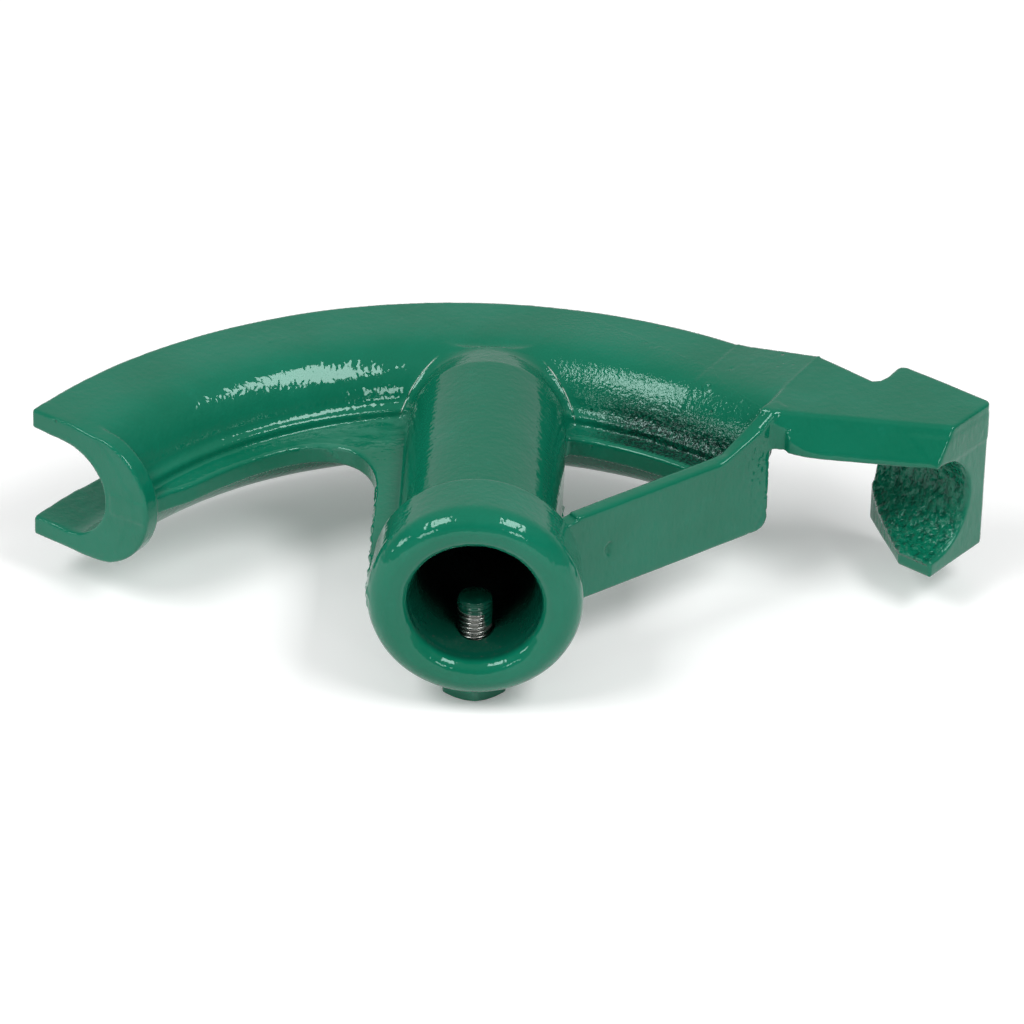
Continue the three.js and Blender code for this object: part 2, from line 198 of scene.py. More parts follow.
neckTurn = math.radians(neck["turn"])
outwardX, outwardY = math.sin(neckTurn), math.cos(neckTurn)


def plan(d, a):
    # d is outward from the bend centre, a is along the hook
    return (outwardX * d + outwardY * a, outwardY * d - outwardX * a)


def angleCut(x, y, degrees):
    t = math.radians(degrees)
    return x * math.cos(t) - y * math.sin(t)


pedalRun = np.array(pedal["end"]) - np.array(pedal["start"])
pedalLength = float(np.hypot(*pedalRun))
pedalRun = pedalRun / pedalLength


def pedalCoordinates(x, y):
    dx, dy = x - pedal["end"][0], y - pedal["end"][1]
    u = pedalLength + dx * pedalRun[0] + dy * pedalRun[1]
    w = dx * pedalRun[1] - dy * pedalRun[0]
    return u, w


def shoeEnds(x, y, r):
    s = shoe
    back = pedalCoordinates(x, y)[1] + s["offPedal"]
    start = -angleCut(x, y, s["start"])
    end = angleCut(x, y, s["end"]) - s["runOn"] * fall(r, *s["runOnAcross"])
    return start, np.maximum(end, back)


def shoeDistance(x, y, z, r):
    s = shoe
    angle = np.degrees(np.arctan2(x, y))
    sag = s["sag"] * ramp(-angle, -s["sagFrom"], -s["start"]) * np.clip((s["rim"] - r) / s["sagAcross"], 0, 1)
    zs = z + sag
    start, end = shoeEnds(x, y, r)
    tube = bowl(r, s["bend"], zs)
    body = softMax(tube - s["groove"] - s["wall"], np.abs(z) - s["half"], s["shoulder"])
    step = np.maximum(s["stepInner"] - r, r - s["rim"])
    step = softMax(np.abs(z) - s["stepHalf"], step, s["stepEdge"])
    body = softMin(body, step, s["stepBlend"])
    body = softMax(body, np.maximum(start, end), s["edge"])
    flange = bowl(r, s["flangeCentre"], zs) - s["flangeRound"]
    flange = softMax(flange, np.abs(zs) - s["half"] + s["flangeInset"], s["flangeShoulder"])
    flange = softMax(flange, softMax(start, -start - s["flange"], s["flangeEdge"]), s["flangeCorner"])
    body = softMin(body, flange, s["flangeBlend"])
    body = softMax(body, r - s["rim"], s["edge"])
    return body, tube - s["groove"]


def socketDistance(y, q):
    s = socket
    domeStart = s["domeEnd"] - s["domeDrop"] - s["neckEnd"]
    drop = s["domeDrop"] * np.clip((y - s["neckEnd"]) / domeStart, 0, s["domeOver"])
    sleeve = np.maximum(q - s["neck"] + drop, y - s["domeEnd"])
    sleeve = softMax(sleeve, s["mouth"] + s["sleeveFrom"] - y, s["sleeveEdge"])
    roundY = s["mouth"] + s["outerRound"]
    across = np.maximum(q - s["ring"] + s["outerRound"], 0)
    front = np.hypot(across, np.maximum(roundY - y, 0)) - s["outerRound"]
    side = q - s["ring"] + s["taper"] * np.clip((y - roundY) / (s["back"] - roundY), 0, 1)
    ring = softMax(np.maximum(front, side), y - s["back"], s["ringEdge"])
    return softMin(sleeve, ring, s["ringBlend"])


def boreDistance(x, y, z, q):
    s = socket
    lead = np.clip((s["mouth"] + s["lead"] - y) / s["lead"], 0, s["leadOver"])
    lead = (s["boreMouth"] - s["bore"]) * lead
    bore = np.maximum(q - s["bore"] - lead, y - s["boreEnd"] + s["drillSlope"] * (q - s["bore"]))
    deep = s["mouth"] + s["innerRound"] - y
    rounding = s["innerRound"] - np.hypot(np.maximum(s["innerCentre"] - q, 0), np.maximum(deep, 0))
    rounding = rounding + s["mouthSlope"] * np.maximum(q - s["innerCentre"], 0)
    bore = softMin(bore, np.maximum(rounding, -deep), s["mouthBlend"])
    hole = np.maximum(np.hypot(x - s["x"], y - s["screwY"]) - s["screwHole"], z)
    return bore, hole


def webDistance(x, y, z, r):
    w = web
    side = np.maximum(np.maximum(w["edge"] - x, x - socket["x"]), w["front"] - y)
    inner = w["inner"] + w["fade"] * ramp(-np.degrees(np.arctan2(x, y)), *w["fadeTurn"])
    band = np.maximum(np.maximum(inner - r, r - w["outer"]), np.maximum(*shoeEnds(x, y, r)))
    flat = np.abs(z + w["drop"]) - w["half"] - w["drop"]
    return softMax(flat, softMin(side, band, w["sweep"]), w["round"])


def pedalDistance(x, y, z):
    p = pedal
    u, w = pedalCoordinates(x, y)
    front, back = [np.interp(u - pedalLength, *p[k]) for k in ("riseFront", "riseBack")]
    top = front + (back - front) * np.clip(-w / p["thick"], 0, 1)
    u = u - p["reachOn"] * ramp(z, *p["reachHeight"])
    corner = np.maximum(u - pedalLength + p["corner"], 0)
    below = np.maximum(-z - p["half"] + p["corner"], 0)
    edge = np.where((corner > 0) & (below > 0), np.hypot(corner, below) - p["corner"], -farAway)
    face = np.maximum(np.maximum(z - top, -z - p["half"]), np.maximum(u - pedalLength, edge))
    face = np.maximum(face, -u)
    slab = np.maximum(w, -w - p["thick"])
    return softMax(face, slab, p["edge"])


def neckDistance(x, y, z, d, a):
    n, s = neck, shoe
    w = pedalCoordinates(x, y)[1]
    rho = np.hypot(d - s["bend"], z)
    body = np.maximum(rho - s["groove"] - s["wall"], np.maximum(z - s["half"], n["under"] - z))
    body = np.maximum(body, np.maximum(d - s["rim"], np.maximum(n["bodyStart"] - a, a - n["bodyEnd"])))
    body = np.maximum(body, w)
    # the shoe's section runs straight on and is lifted to the plate's edge, where the wall sweeps up to it
    t = math.radians(n["rampTurn"])
    rimCorner = math.sin(t) * s["rim"], math.cos(t) * s["rim"]
    inner, outer = plan(*plate["inner"]), plan(plate["outer"], plate["start"])
    outside = lineSide(x, y, rimCorner, outer)
    nearness, farness = angleCut(x, y, n["rampTurn"]), lineSide(x, y, inner, outer)
    share = np.clip(nearness / np.maximum(nearness + farness, n["leastSpan"]), 0, 1)
    zl = z - (plate["top"] - s["half"]) * share
    dome = softMax(bowl(d, s["bend"], zl) - s["groove"] - s["wall"], zl - s["half"], s["shoulder"])
    wedge = softMax(dome, outside, n["wedgeEdge"])
    ends = np.maximum(n["under"] - z, np.maximum(-nearness, -farness))
    wedge = np.maximum(np.maximum(wedge, w), ends)
    return body, wedge, np.maximum(rho - s["groove"], -n["conduitBack"] - a)


def hookCup(d, z):
    return bowl(-d, -hook["cupCentre"], z + hook["cupDrop"]) - hook["cup"]


def hookDistance(x, y, z, d, a):
    p, h = plate, hook
    back = h["end"] - h["length"]
    fx, fy = plan(*p["frontStart"])
    gx, gy = plan(*p["frontEnd"])
    length = math.hypot(gx - fx, gy - fy)
    forwardX, forwardY = (gy - fy) / length, -(gx - fx) / length
    forward = (x - fx) * forwardX + (y - fy) * forwardY
    sideways = (y - fy) * forwardX - (x - fx) * forwardY
    slide = p["bevelRun"] / -(forwardX * outwardX + forwardY * outwardY)
    notch = [plan(p["outer"] + out, back + along) for out, along in p["notch"]]
    backCorner = [plan(h["outer"] + out, back + along) for out, along in h["backCorner"]]
    wallCorner = [plan(h["outer"] + out, back + along) for out, along in h["wallCorner"]]
    frontCorner = [plan(h["outer"] + out, h["end"] + along) for out, along in h["frontCorner"]]
    shiftX, shiftY = p["frontShift"] * forwardY, p["frontShift"] * forwardX
    top = [plan(p["outer"], p["start"])] + notch + backCorner + frontCorner + [
        plan(p["frontEnd"][0] - slide, h["end"]),
        (fx + forwardX * p["bevelRun"] + shiftX, fy + forwardY * p["bevelRun"] - shiftY),
        (fx + shiftX, fy - shiftY), plan(*p["inner"]),
    ]
    bevel = forward * p["bevelDrop"] + (z - p["top"]) * p["bevelRun"]
    bevel = bevel / math.hypot(p["bevelDrop"], p["bevelRun"])
    hollow = forward - np.interp(sideways, p["hollowAlong"], p["hollowDepth"])
    roof = softMax(polygonDistance(x, y, top), np.maximum(bevel, hollow), p["edge"])
    roof = softMax(roof, np.maximum(z - p["top"], p["under"] - z), p["corner"])
    wall = [
        plan(h["lip"], h["end"]), plan(h["lip"], h["end"] - h["cut"]),
        plan(h["cutBack"], back + h["cutStart"]),
    ] + wallCorner + frontCorner
    block = softMax(polygonDistance(x, y, wall), np.maximum(z - h["roof"], h["bottom"] - z), h["edge"])
    block = softMax(block, bevel, h["bevelEdge"])
    body = softMin(roof, block, h["blend"])
    ceiling = p["under"] + h["cupRise"] * np.clip(d - h["cupRiseFrom"], 0, h["cupRiseRun"])
    cup = np.maximum(hookCup(d, z), z - ceiling)
    return softMax(body, -np.maximum(cup, back - h["cupPast"] - a), h["cupEdge"])


def castingDistance(x, y, z):
    j = joins
    r = np.hypot(x, y)
    d, a = x * outwardX + y * outwardY, x * outwardY - y * outwardX
    q = np.hypot(x - socket["x"], z)
    body, groove = shoeDistance(x, y, z, r)
    body = softMin(body, webDistance(x, y, z, r), j["web"])
    least = socket["flareLeast"]
    flare = least + (socket["flare"] - least) * ramp(y, socket["flareFrom"], socket["flareTo"])
    body = softMin(body, socketDistance(y, q), flare)
    body = softMax(body, -groove, shoe["lip"])
    half, wedge, conduit = neckDistance(x, y, z, d, a)
    neckBody = softMax(np.minimum(half, wedge), -conduit, j["neckGroove"])
    body = softMin(body, neckBody, j["neck"] + fall(d, *j["neckWider"]))
    far = softMin(hookDistance(x, y, z, d, a), pedalDistance(x, y, z), j["pedalToHook"])
    sweep = ramp(d, *j["sweepIn"]) * fall(d, *j["sweepOut"]) * ramp(z, *j["sweepUp"])
    body = softMin(body, far, j["far"] + j["foot"] * fall(d, *j["footAcross"]) + j["sweep"] * sweep)
    bore, hole = boreDistance(x, y, z, q)
    body = softMax(body, -bore, j["bore"])
    return softMax(body, -hole, j["screwHole"])


# Turning a distance into a mesh: one point in each cell that the surface crosses, then pulled onto it
corners = [(i, j, k) for i in (0, 1) for j in (0, 1) for k in (0, 1)]
cellEdges = [(a, b) for a in range(8) for b in range(a + 1, 8)
             if sum(abs(p - q) for p, q in zip(corners[a], corners[b])) == 1]
leastSlope = 0.2
tiny = 1e-9


def skinField(field, low, step):
    inside = field < 0
    nx, ny, nz = field.shape
    blocks = [inside[i:nx - 1 + i, j:ny - 1 + j, k:nz - 1 + k] for i, j, k in corners]
    count = sum(b.astype(np.int8) for b in blocks)
    mixed = (count > 0) & (count < len(corners))
    cells = np.argwhere(mixed)
    total = np.zeros((len(cells), 3))
    hits = np.zeros(len(cells))
    for a, b in cellEdges:
        ca, cb = np.array(corners[a]), np.array(corners[b])
        fa, fb = field[tuple((cells + ca).T)], field[tuple((cells + cb).T)]
        crossing = (fa < 0) != (fb < 0)
        t = fa[crossing] / (fa[crossing] - fb[crossing])
        total[crossing] += ca + t[:, None] * (cb - ca)
        hits[crossing] += 1
    points = low + (cells + total / hits[:, None]) * step
    index = np.full(mixed.shape, -1, np.int32)
    index[mixed] = np.arange(len(cells))
    faces = []
    for axis in range(3):
        u, v = (axis + 1) % 3, (axis + 2) % 3
        here = [slice(1, -1)] * 3
        there = [slice(1, -1)] * 3
        here[axis], there[axis] = slice(0, -1), slice(1, None)
        spots = np.argwhere(inside[tuple(here)] != inside[tuple(there)])
        for other in (u, v):
            spots[:, other] += 1
        eu, ev = np.eye(3, dtype=int)[u], np.eye(3, dtype=int)[v]
        around = [index[tuple((spots + o).T)] for o in (-eu - ev, -ev, np.zeros(3, int), -eu)]
        quad = np.stack(around, 1)
        flip = ~inside[tuple(spots.T)]
        quad[flip] = quad[flip][:, ::-1]
        faces.append(quad)
    return points, np.concatenate(faces)


def slopeOf(distance, p, eps):
    slope = np.zeros_like(p)
    for axis in range(3):
        shift = np.zeros(3)
        shift[axis] = eps
        slope[:, axis] = (distance(*(p + shift).T) - distance(*(p - shift).T)) / (2 * eps)
    return slope


def pullOnto(distance, p, rounds, eps, reach, least):
    for _ in range(rounds):
        slope = slopeOf(distance, p, eps)
        length2 = np.maximum((slope ** 2).sum(1), least)
        move = -(distance(*p.T) / length2)[:, None] * slope
        size = np.linalg.norm(move, axis=1, keepdims=True)
        p = p + move * np.minimum(1, reach / np.maximum(size, tiny))
    return p


# how many random values a lattice repeats, and the steps between them along x, y and z
latticeValues, latticeSteps = 4096, (73, 179, 283)


def lattice(p, size, seed):
    # smooth noise from random values on a grid, -1 to 1
    table = np.random.default_rng(seed).uniform(-1, 1, latticeValues)
    q = p / size
    base = np.floor(q).astype(int)
    t = q - base
    t = t * t * (3 - 2 * t)
    total = 0
    for i, j, k in corners:
        cell = (base + (i, j, k)) * latticeSteps
        value = table[(cell[:, 0] + cell[:, 1] + cell[:, 2]) % latticeValues]
        weight = np.prod([t[:, n] if c else 1 - t[:, n] for n, c in enumerate((i, j, k))], axis=0)
        total = total + value * weight
    return total


def meshPiece(name, points, faces):
    mesh = bpy.data.meshes.new(name)
    mesh.from_pydata(toScene(points).tolist(), [], faces)
    mesh.polygons.foreach_set("use_smooth", [True] * len(mesh.polygons))
    mesh.update()
    piece = bpy.data.objects.new(name, mesh)
    bpy.context.scene.collection.objects.link(piece)
    return piece


def paintPoints(piece, name, values):
    attribute = piece.data.attributes.new(name, "FLOAT", "POINT")
    attribute.data.foreach_set("value", np.asarray(values, np.float32))


casting = {
    "step": 0.5, "low": (-107.0, 9.0, -27.5), "high": (123.5, 126.0, 27.5),
    "rounds": 3, "probe": 0.06, "reach": 0.3, "leastPull": 0.05, "reliefProbe": 0.12,
    # height, size and seed of the cast skin's noises, and how some are stretched
    "noises": {
        "broad": (0.05, 9, 1), "small": (0.022, 3.1, 2), "creases": (0.5, 1.9, 3, (1, 1, 0.5)),
        "ripples": (0.22, 1.0, 4, (1, 1, 0.6)), "groove": (0.09, 2.4, 5), "grooveFine": (0.05, 1.2, 6),
        "pebbles": (0.02, 1.25, 7), "crinkle": (0.11, 1.5, 8), "speckle": (1, 0.8, 9),
        "web": (0.06, 1.2, 10, (0.55, 1, 1)),
    },
    "cupLevel": 0.3, "cupHeight": 0.9, "speckleShare": 0.2, "speckleDepth": 0.3,
    # torn metal along the parting line: from, to and height
    "flash": {
        "web": ((-23.4, 22.0), (-23.4, 62.0), 0.55), "ring": ((-24.2, 15.0), (-23.8, 24.0), 0.45),
        "neck": ((20.2, 44.0), (20.1, 58.0), 0.5),
    },
    "flashReach": (0.6, 1.8), "flashFlat": 0.8, "flashLow": -0.2,
    "flashLumps": ((1.5, 1.3, 40), (0.5, 0.7, 50)),
    # x, y, z, reach and height of single bumps and pits
    "marks": [
        (31.5, 40.3, 1.0, 0.5, -0.6), (31.0, 39.8, 0.3, 0.5, -0.6), (30.9, 39.7, -0.6, 0.5, -0.6),
        (31.2, 40.0, -1.4, 0.5, -0.6), (58.6, 94.6, 17.8, 0.45, -0.3), (71.9, 69.0, 16.3, 0.5, -0.28),
        (74.0, 66.2, 11.2, 0.5, -0.28), (-35.4, 78.1, 0.2, 0.7, 0.5), (-36.8, 77.9, 1.0, 0.5, 0.4),
        (-34.2, 78.0, -1.0, 0.6, 0.45), (-33.4, 77.3, -1.8, 0.5, 0.4), (-23.6, 15.6, 1.0, 0.6, 0.4),
        (-51.2, 100.8, 17.0, 0.35, 0.2), (-48.4, 102.0, 17.0, 0.3, 0.2), (40.3, 105.0, 17.0, 0.4, -0.2),
    ],
    "crater": {
        "place": (53.3, 88.8, 15.5), "rim": 0.25, "rimRadius": 1.0, "rimWidth": 0.3,
        "pit": 0.3, "pitWidth": 0.6,
    },
}
# where each kind of surface lies: pairs are where it starts and where it is full, in mm or degrees
zones = {
    "cupSkin": (0.5, 0.9), "cupBack": (-0.5, 0.5), "cupEnd": (-1.6, -0.6), "cupTop": (-1.6, -0.8),
    "grooveSkin": (0.5, 1.0), "grooveStop": 36,
    "boreSkin": (0.5, 1.1), "boreLip": (12.6, 16), "boreDeep": (16, 46), "boreStop": 84,
    "boreShares": (0.45, 0.55),
    "wallOut": 109, "wallIn": 90, "wallTop": 17, "wallFoot": -3, "wallOffPedal": -4.2,
    "pebblesTurn": (5, 9), "crinkleTurn": (12, 24), "crinkleHeight": (6, 13),
    "speckleTop": 9.5, "speckleAlong": (-6.5, -5.5), "speckleSkin": (0.6, 1.2),
    "webHeight": (0.8, 4.5), "webRight": -14, "webIn": (78, 87), "webOut": (93.5, 94.5), "webFront": (30, 50),
    "webLeft": (-52, -34),
    "filletShare": 0.5, "filletSlope": 0.25, "filletReach": 2.5, "filletAlong": (82, 88),
    "filletFoot": (3.4, 4.4), "filletTop": (12.5, 14.5),
}


def near(value, full, none):
    return 1 - ramp(np.abs(value), full, none)


def regions(p, s):
    x, y, z = p.T
    r, angle = np.hypot(x, y), np.degrees(np.arctan2(x, y))
    d, a = x * outwardX + y * outwardY, x * outwardY - y * outwardX
    q = np.hypot(x - socket["x"], z)
    u, w = pedalCoordinates(x, y)
    groove = bowl(r, shoe["bend"], z) - shoe["groove"]
    mouth = boreDistance(x, y, z, q)[0]
    back, end, under = hook["end"] - hook["length"], hook["end"], plate["under"]
    inCup = ramp(a, *(back + v for v in s["cupBack"])) * (1 - ramp(a, *(end + v for v in s["cupEnd"])))
    inCup = inCup * (1 - ramp(z, *(under + v for v in s["cupTop"])))
    lip, deep = s["boreShares"]
    graded = lip * ramp(y, *s["boreLip"]) + deep * ramp(y, *s["boreDeep"])
    wall = (d < s["wallOut"]) & (r > s["wallIn"]) & (w < s["wallOffPedal"])
    wall = wall & (z < s["wallTop"]) & (z > s["wallFoot"])
    webTop = (z > s["webHeight"][0]) & (z < s["webHeight"][1]) & (x < s["webRight"])
    webSpread = ramp(r, *s["webIn"]) * (1 - ramp(r, *s["webOut"])) * ramp(y, *s["webFront"])
    border = socketDistance(y, q) - shoeDistance(x, y, z, r)[0] - socket["flare"] / 2
    onFillet = ramp(y, *s["filletAlong"]) * ramp(z, *s["filletFoot"]) * (1 - ramp(z, *s["filletTop"]))
    speckled = ramp(u, *(pedalLength + v for v in s["speckleAlong"])) * near(w, *s["speckleSkin"])
    return {
        "cupWall": near(hookCup(d, z), *s["cupSkin"]) * inCup,
        "grooveWall": near(groove, *s["grooveSkin"]) * (angle < s["grooveStop"]),
        "boreWall": near(mouth, *s["boreSkin"]) * graded * (y < s["boreStop"]),
        "pebbles": wall * ramp(angle, *s["pebblesTurn"]),
        "crinkle": wall * ramp(angle, *s["crinkleTurn"]) * (1 - ramp(z, *s["crinkleHeight"])),
        "speckle": (z < s["speckleTop"]) * speckled,
        "webGrain": webTop * webSpread * ramp(x, *s["webLeft"]),
        "fillet": np.clip(s["filletShare"] + border * s["filletSlope"], 0, 1),
        "filletPlace": (np.abs(border) < s["filletReach"]) * onFillet,
    }


def flashAt(p, s):
    total = 0
    for k, ((ax, ay), (bx, by), height) in enumerate(s["flash"].values()):
        ex, ey = bx - ax, by - ay
        t = np.clip(((p[:, 0] - ax) * ex + (p[:, 1] - ay) * ey) / (ex * ex + ey * ey), 0, 1)
        across = (p[:, 0] - ax - ex * t) ** 2 + (p[:, 1] - ay - ey * t) ** 2
        away = np.sqrt(across + (p[:, 2] * s["flashFlat"]) ** 2)
        lumps = sum(share * lattice(p, size, seed + k) for share, size, seed in s["flashLumps"])
        total = total + (1 - ramp(away, *s["flashReach"])) * np.clip(lumps, s["flashLow"], 1) * height
    return total


def relief(p, areas, s):
    def noise(name):
        height, size, seed, *stretch = s["noises"][name]
        return height * lattice(p * np.array(stretch[0]) if stretch else p, size, seed)

    swell = noise("broad") + noise("small")
    folds = np.abs(noise("creases")) + noise("ripples")
    swell = swell + areas["cupWall"] * (s["cupLevel"] - folds) * s["cupHeight"]
    swell = swell + areas["grooveWall"] * (noise("groove") + noise("grooveFine"))
    swell = swell + areas["pebbles"] * noise("pebbles")
    swell = swell + areas["crinkle"] * noise("crinkle")
    swell = swell + areas["speckle"] * s["speckleDepth"] * np.minimum(noise("speckle") + s["speckleShare"], 0)
    swell = swell + areas["webGrain"] * noise("web")
    for x, y, z, reach, height in s["marks"]:
        away = ((p - (x, y, z)) ** 2).sum(1) / reach ** 2
        swell = swell + height * np.exp(-away)
    c = s["crater"]
    away = np.sqrt(((p - c["place"]) ** 2).sum(1))
    swell = swell + c["rim"] * np.exp(-((away - c["rimRadius"]) / c["rimWidth"]) ** 2)
    swell = swell - c["pit"] * np.exp(-(away / c["pitWidth"]) ** 2)
    return swell + flashAt(p, s)


def makeCasting(s):
    low, high = np.array(s["low"]), np.array(s["high"])
    counts = np.ceil((high - low) / s["step"]).astype(int) + 1
    axes = [low[k] + s["step"] * np.arange(counts[k]) for k in range(3)]
    x, y, z = axes[0][:, None, None], axes[1][None, :, None], axes[2][None, None, :]
    field = castingDistance(x, y, z)
    print("casting field", field.shape)
    points, faces = skinField(field, low, s["step"])
    points = pullOnto(castingDistance, points, s["rounds"], s["probe"], s["reach"], s["leastPull"])
    areas = regions(points, zones)
    slope = slopeOf(castingDistance, points, s["reliefProbe"])
    slope /= np.maximum(np.linalg.norm(slope, axis=1, keepdims=True), leastSlope)
    points = points + slope * relief(points, areas, s)[:, None]
    points = np.clip(points, *[(np.array(corner) - bendCentre) / mm for corner in cadBox])
    print("casting skin", len(points), "points", len(faces), "faces")
    piece = meshPiece("bender_casting", points, faces.tolist())
    for name, values in areas.items():
        paintPoints(piece, name, values)
    return piece


bender = makeCasting(casting)
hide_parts("bender_head")
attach(bender, "head")

# The set screw: a cut thread, a chamfered hexagon head
screw = {
    "x": 1.0, "y": 25.6, "tip": -4.95, "seat": -25.1, "bottom": -29.4, "radius": 4.1, "turn": 35.0,
    "sides": 72, "flats": 14.6, "cornerWear": 0.12, "chamferSlope": 1.9, "landOut": 0.35,
    # the head's rows: height above the bottom, or below the seat, and reach past the half width of the flats
    "bottomRows": ((0, -0.5), (0.12, -0.18)), "bottomChamfer": (0.25, 0.75, 5), "bottomOut": (-0.1, 0.15),
    "flatRows": (1.6, 0.9), "seatChamfer": (0.55, 0.2, 4), "seatOut": (0.1, 0.2),
    "seatRows": ((0.1, -0.15), (0, -0.3)),
    "pitch": 1.25, "depth": 0.66, "crest": 1.25, "flankSlope": 3.4, "rowsPerTurn": 12, "firstRow": 0.1,
    "runOut": (0.6, 0.8), "tipChamfer": 0.35, "tipRun": 0.9, "tipEdge": 0.1,
    # the paint at the tip fills the thread: how far down it reaches, and how much it fills
    "paintDown": 3.0, "paintFill": 0.7, "fillFade": (0.6, 1.2), "paintFade": 0.8, "neckFade": (0.4, 1.6),
    "sideFade": (-0.1, 0.9), "sideDown": (11.0, 5.0), "sidePaint": 0.75, "headOver": 0.2,
}


def makeScrew(s):
    sixth, half = math.pi / 3, s["flats"] / 2
    turned = math.radians(s["turn"])
    angles = np.arange(s["sides"]) * 2 * math.pi / s["sides"] + turned
    hexagon = half / np.cos((angles - turned) % sixth - sixth / 2)
    hexagon = np.minimum(hexagon, s["flats"] / math.sqrt(3) - s["cornerWear"])

    def disc(z, reach):
        return (z, np.full(len(angles), reach))

    rows = [(s["bottom"] + z, np.minimum(hexagon, half + out)) for z, out in s["bottomRows"]]
    out, offset = s["bottomOut"]
    for z in np.linspace(*s["bottomChamfer"]):
        rows.append((s["bottom"] + z, np.minimum(hexagon, half + out + (z - offset) * s["chamferSlope"])))
    rows += [(s["bottom"] + s["flatRows"][0], hexagon), (s["seat"] - s["flatRows"][1], hexagon)]
    out, offset = s["seatOut"]
    for z in np.linspace(*s["seatChamfer"]):
        rows.append((s["seat"] - z, np.minimum(hexagon, half + out + (z - offset) * s["chamferSlope"])))
    rows += [disc(s["seat"] - z, half + out) for z, out in s["seatRows"]]
    rows.append(disc(s["seat"], s["radius"] + s["landOut"]))
    fillLow, fillHigh = s["tip"] - s["paintDown"] - s["fillFade"][0], s["tip"] - s["fillFade"][1]
    for z in np.arange(s["seat"] + s["firstRow"], s["tip"], s["pitch"] / s["rowsPerTurn"]):
        phase = ((z - s["seat"]) / s["pitch"] - angles / (2 * math.pi)) % 1
        cut = np.clip(s["crest"] - np.abs(phase - 0.5) * s["flankSlope"], 0, 1) * s["depth"]
        cut = cut * np.clip((z - s["seat"] - s["runOut"][0]) / s["runOut"][1], 0, 1)
        cut = cut * (1 - s["paintFill"] * ramp(z, fillLow, fillHigh))
        fromTip = np.clip((s["tip"] - z) / s["tipRun"], 0, 1)
        tipRadius = s["radius"] - s["tipChamfer"] + fromTip * s["tipChamfer"]
        rows.append((z, np.minimum(s["radius"] - cut, tipRadius)))
    rows.append(disc(s["tip"], s["radius"] - s["tipChamfer"] - s["tipEdge"]))
    points = [(s["x"] + r * math.cos(t), s["y"] + r * math.sin(t), z)
              for z, reach in rows for t, r in zip(angles, reach)]
    n = len(angles)
    faces = [(k * n + i, k * n + (i + 1) % n, (k + 1) * n + (i + 1) % n, (k + 1) * n + i)
             for k in range(len(rows) - 1) for i in range(n)]
    low, high = len(points), len(points) + 1
    points += [(s["x"], s["y"], s["bottom"]), (s["x"], s["y"], s["tip"])]
    last = (len(rows) - 1) * n
    faces += [(low, (i + 1) % n, i) for i in range(n)]
    faces += [(high, last + i, last + (i + 1) % n) for i in range(n)]
    piece = meshPiece("handle_set_screw_threaded", np.array(points), faces)
    heights = np.array(points)[:, 2]
    side = (np.array(points)[:, 0] - s["x"]) / s["radius"]
    painted = s["tip"] - s["paintDown"]
    bare = ramp(heights, s["seat"] + s["neckFade"][0], s["seat"] + s["neckFade"][1])
    bare = bare * (1 - ramp(heights, painted - s["paintFade"], painted + s["paintFade"]))
    sidePaint = ramp(side, *s["sideFade"]) * ramp(heights, *(s["tip"] - down for down in s["sideDown"]))
    paintPoints(piece, "bareSteel", bare * (1 - s["sidePaint"] * sidePaint))
    paintPoints(piece, "onHead", heights < s["seat"] + s["headOver"])
    return piece


setScrew = makeScrew(screw)
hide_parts("handle_set_screw")
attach(setScrew, "screw")
print("screw made")


# Materials
class Wire:
    def __init__(self, graph, socket):
        self.graph, self.socket = graph, socket

    def calc(self, kind, a, b):
        wide = "VECTOR" in [w.socket.type for w in (a, b) if isinstance(w, Wire)]
        return self.graph.node("VectorMath" if wide else "Math", {"operation": kind}, {0: a, 1: b})

    def __add__(self, other):
        return self.calc("ADD", self, other)

    def __radd__(self, other):
        return self.calc("ADD", other, self)

    def __sub__(self, other):
        return self.calc("SUBTRACT", self, other)

    def __rsub__(self, other):
        return self.calc("SUBTRACT", other, self)

    def __mul__(self, other):
        return self.calc("MULTIPLY", self, other)

    def __rmul__(self, other):
        return self.calc("MULTIPLY", other, self)


class Graph:
    def __init__(self, name):
        self.material = bpy.data.materials.new(name)
        self.material.use_nodes = True
        self.tree = self.material.node_tree
        self.shader = self.tree.nodes["Principled BSDF"]

    def feed(self, target, value):
        if isinstance(value, Wire):
            self.tree.links.new(value.socket, target)
        else:
            target.default_value = value

    def node(self, kind, settings, values, out=0):
        made = self.tree.nodes.new("ShaderNode" + kind)
        for key, value in settings.items():
            setattr(made, key, value)
        for key, value in values.items():
            self.feed(made.inputs[key], value)
        return Wire(self, made.outputs[out])

    def place(self):
        return self.node("TexCoord", {}, {}, "Object")

    def attribute(self, name):
        return self.node("Attribute", {"attribute_name": name}, {}, "Fac")

    def noise(self, scale, detail, rough, stretch=(1, 1, 1), shift=(0, 0, 0)):
        where = self.place() * stretch + shift
        return self.node("TexNoise", {}, {
            "Vector": where, "Scale": scale, "Detail": detail, "Roughness": rough}, "Fac")

    def cells(self, scale):
        return self.node("TexVoronoi", {}, {"Vector": self.place(), "Scale": scale}, "Distance")

    def fade(self, value, low, high):
        return self.node("MapRange", {"interpolation_type": "SMOOTHSTEP"}, {
            "Value": value, "From Min": low, "From Max": high})

    def blend(self, share, a, b):
        # sockets 6 and 7 take the colours of a Mix node, and output 2 gives its colour
        return self.node("Mix", {"data_type": "RGBA"}, {0: share, 6: a, 7: b}, 2)

    def bump(self, height, distance, below=None):
        values = {"Height": height, "Distance": distance}
        if below is not None:
            values["Normal"] = below
        return self.node("Bump", {}, values)

    def finish(self, settings):
        for key, value in settings.items():
            self.feed(self.shader.inputs[key], value)
        return self.material


